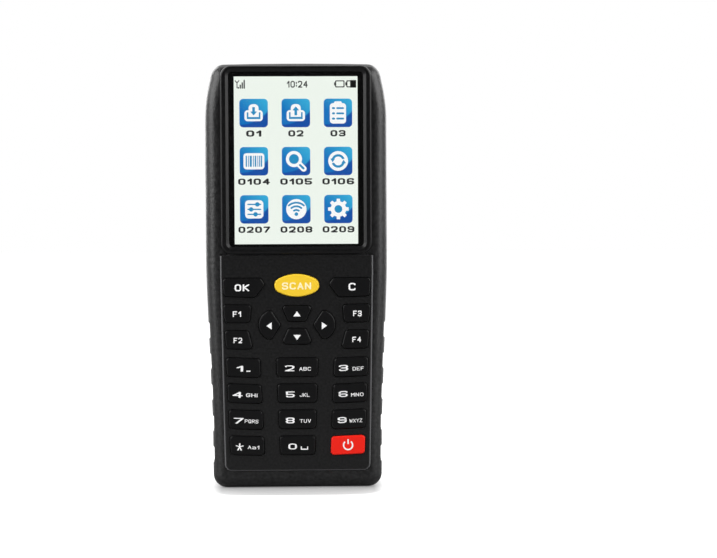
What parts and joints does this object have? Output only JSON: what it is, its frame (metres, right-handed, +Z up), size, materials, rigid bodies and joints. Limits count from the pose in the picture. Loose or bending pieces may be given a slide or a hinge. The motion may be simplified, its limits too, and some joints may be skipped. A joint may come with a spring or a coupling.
{
  "type": "portable barcode data terminal",
  "caption": "Hand-held barcode data terminal with a colour screen, push-button keypad, scan head in its top end and a hinged battery door.",
  "frame": {"origin": "centre of the overall box at the base the terminal stands on", "axes": "+X to the user's right, +Y from the keys to the back, +Z up from the base to the scan window"},
  "size_m": [0.0698, 0.034, 0.1635],
  "materials": {
    "grip_shell": "textured moulded ABS",
    "smooth_shell": "fine satin moulded ABS",
    "door_shell": "textured moulded ABS",
    "key_rubber": "satin silicone",
    "scan_key_yellow": "satin silicone",
    "power_key_red": "satin silicone",
    "display_lens": "polished",
    "scan_lens": "polished, dark red",
    "lcd_glass": "laminated display glass",
    "black_rubber": "matte",
    "foam": "closed-cell foam",
    "circuit_board": "solder mask",
    "flex_film": "polyimide film",
    "chip_black": "moulded epoxy",
    "tinned_steel": "tinned",
    "bare_steel": "zinc plated",
    "gold_contact": "gold plated",
    "battery_wrap": "printed film over an aluminium cell can",
    "scan_optic": "polished optic"
  },
  "bodies": {
    "housing": {"backup_cell": "tinned_steel", "battery_connector": "chip_black", "battery_contacts": "gold_contact", "battery_pack": "battery_wrap", "board_chips": "chip_black", "board_screws": "bare_steel", "buzzer": "chip_black", "display_window": "display_lens", "door_hinge_pin": "bare_steel", "door_seal": "black_rubber", "face_panel": "smooth_shell", "front_housing": "grip_shell", "housing_screws": "bare_steel", "housing_seal": "black_rubber", "key_domes": "bare_steel", "keypad_mat": "black_rubber", "lcd_cushion": "foam", "lcd_flex": "flex_film", "lcd_module": "lcd_glass", "main_board": "circuit_board", "port_cover_pin": "bare_steel", "processor_shield": "tinned_steel", "radio_antenna": "gold_contact", "radio_shield": "tinned_steel", "rear_housing": "grip_shell", "scan_bracket": "bare_steel", "scan_engine": "chip_black", "scan_flex": "flex_film", "scan_optics": "scan_optic", "scan_screws": "bare_steel", "scan_window": "scan_lens", "screen_bezel": "smooth_shell", "usb_connector": "tinned_steel", "window_tape": "foam"},
    "battery_door": {"battery_door": "door_shell"},
    "battery_latch": {"battery_latch": "door_shell"},
    "key_0": {"key_0": "key_rubber"},
    "key_1": {"key_1": "key_rubber"},
    "key_2": {"key_2": "key_rubber"},
    "key_3": {"key_3": "key_rubber"},
    "key_4": {"key_4": "key_rubber"},
    "key_5": {"key_5": "key_rubber"},
    "key_6": {"key_6": "key_rubber"},
    "key_7": {"key_7": "key_rubber"},
    "key_8": {"key_8": "key_rubber"},
    "key_9": {"key_9": "key_rubber"},
    "key_cancel": {"key_cancel": "key_rubber"},
    "key_down": {"key_down": "key_rubber"},
    "key_f1": {"key_f1": "key_rubber"},
    "key_f2": {"key_f2": "key_rubber"},
    "key_f3": {"key_f3": "key_rubber"},
    "key_f4": {"key_f4": "key_rubber"},
    "key_left": {"key_left": "key_rubber"},
    "key_ok": {"key_ok": "key_rubber"},
    "key_power": {"key_power": "power_key_red"},
    "key_right": {"key_right": "key_rubber"},
    "key_scan": {"key_scan": "scan_key_yellow"},
    "key_star": {"key_star": "key_rubber"},
    "key_up": {"key_up": "key_rubber"},
    "port_cover": {"port_cover": "black_rubber"}
  },
  "joints": [
    {"name": "key_0_press", "type": "slide", "parent": "housing", "child": "key_0", "axis": [0, 1, 0], "range_m": [0, 0.0006], "stiffness_N_per_m": 2500},
    {"name": "key_1_press", "type": "slide", "parent": "housing", "child": "key_1", "axis": [0, 1, 0], "range_m": [0, 0.0006], "stiffness_N_per_m": 2500},
    {"name": "key_2_press", "type": "slide", "parent": "housing", "child": "key_2", "axis": [0, 1, 0], "range_m": [0, 0.0006], "stiffness_N_per_m": 2500},
    {"name": "key_3_press", "type": "slide", "parent": "housing", "child": "key_3", "axis": [0, 1, 0], "range_m": [0, 0.0006], "stiffness_N_per_m": 2500},
    {"name": "key_4_press", "type": "slide", "parent": "housing", "child": "key_4", "axis": [0, 1, 0], "range_m": [0, 0.0006], "stiffness_N_per_m": 2500},
    {"name": "key_5_press", "type": "slide", "parent": "housing", "child": "key_5", "axis": [0, 1, 0], "range_m": [0, 0.0006], "stiffness_N_per_m": 2500},
    {"name": "key_6_press", "type": "slide", "parent": "housing", "child": "key_6", "axis": [0, 1, 0], "range_m": [0, 0.0006], "stiffness_N_per_m": 2500},
    {"name": "key_7_press", "type": "slide", "parent": "housing", "child": "key_7", "axis": [0, 1, 0], "range_m": [0, 0.0006], "stiffness_N_per_m": 2500},
    {"name": "key_8_press", "type": "slide", "parent": "housing", "child": "key_8", "axis": [0, 1, 0], "range_m": [0, 0.0006], "stiffness_N_per_m": 2500},
    {"name": "key_9_press", "type": "slide", "parent": "housing", "child": "key_9", "axis": [0, 1, 0], "range_m": [0, 0.0006], "stiffness_N_per_m": 2500},
    {"name": "key_cancel_press", "type": "slide", "parent": "housing", "child": "key_cancel", "axis": [0, 1, 0], "range_m": [0, 0.0006], "stiffness_N_per_m": 2500},
    {"name": "key_down_press", "type": "slide", "parent": "housing", "child": "key_down", "axis": [0, 1, 0], "range_m": [0, 0.0006], "stiffness_N_per_m": 2500},
    {"name": "key_f1_press", "type": "slide", "parent": "housing", "child": "key_f1", "axis": [0, 1, 0], "range_m": [0, 0.0006], "stiffness_N_per_m": 2500},
    {"name": "key_f2_press", "type": "slide", "parent": "housing", "child": "key_f2", "axis": [0, 1, 0], "range_m": [0, 0.0006], "stiffness_N_per_m": 2500},
    {"name": "key_f3_press", "type": "slide", "parent": "housing", "child": "key_f3", "axis": [0, 1, 0], "range_m": [0, 0.0006], "stiffness_N_per_m": 2500},
    {"name": "key_f4_press", "type": "slide", "parent": "housing", "child": "key_f4", "axis": [0, 1, 0], "range_m": [0, 0.0006], "stiffness_N_per_m": 2500},
    {"name": "key_left_press", "type": "slide", "parent": "housing", "child": "key_left", "axis": [0, 1, 0], "range_m": [0, 0.0006], "stiffness_N_per_m": 2500},
    {"name": "key_ok_press", "type": "slide", "parent": "housing", "child": "key_ok", "axis": [0, 1, 0], "range_m": [0, 0.0006], "stiffness_N_per_m": 2500},
    {"name": "key_power_press", "type": "slide", "parent": "housing", "child": "key_power", "axis": [0, 1, 0], "range_m": [0, 0.0006], "stiffness_N_per_m": 2500},
    {"name": "key_right_press", "type": "slide", "parent": "housing", "child": "key_right", "axis": [0, 1, 0], "range_m": [0, 0.0006], "stiffness_N_per_m": 2500},
    {"name": "key_scan_press", "type": "slide", "parent": "housing", "child": "key_scan", "axis": [0, 1, 0], "range_m": [0, 0.0006], "stiffness_N_per_m": 2500},
    {"name": "key_star_press", "type": "slide", "parent": "housing", "child": "key_star", "axis": [0, 1, 0], "range_m": [0, 0.0006], "stiffness_N_per_m": 2500},
    {"name": "key_up_press", "type": "slide", "parent": "housing", "child": "key_up", "axis": [0, 1, 0], "range_m": [0, 0.0006], "stiffness_N_per_m": 2500},
    {"name": "battery_door_hinge", "type": "hinge", "parent": "housing", "child": "battery_door", "pos_m": [0, 0.0088, 0.0792], "axis": [1, 0, 0], "range_deg": [0, 95]},
    {"name": "battery_latch_slide", "type": "slide", "parent": "battery_door", "child": "battery_latch", "axis": [0, 0, -1], "range_m": [0, 0.0026]},
    {"name": "port_cover_hinge", "type": "hinge", "parent": "housing", "child": "port_cover", "pos_m": [-0.0339, -0.0103, 0.121], "axis": [0, 0, 1], "range_deg": [0, 100]}
  ]
}
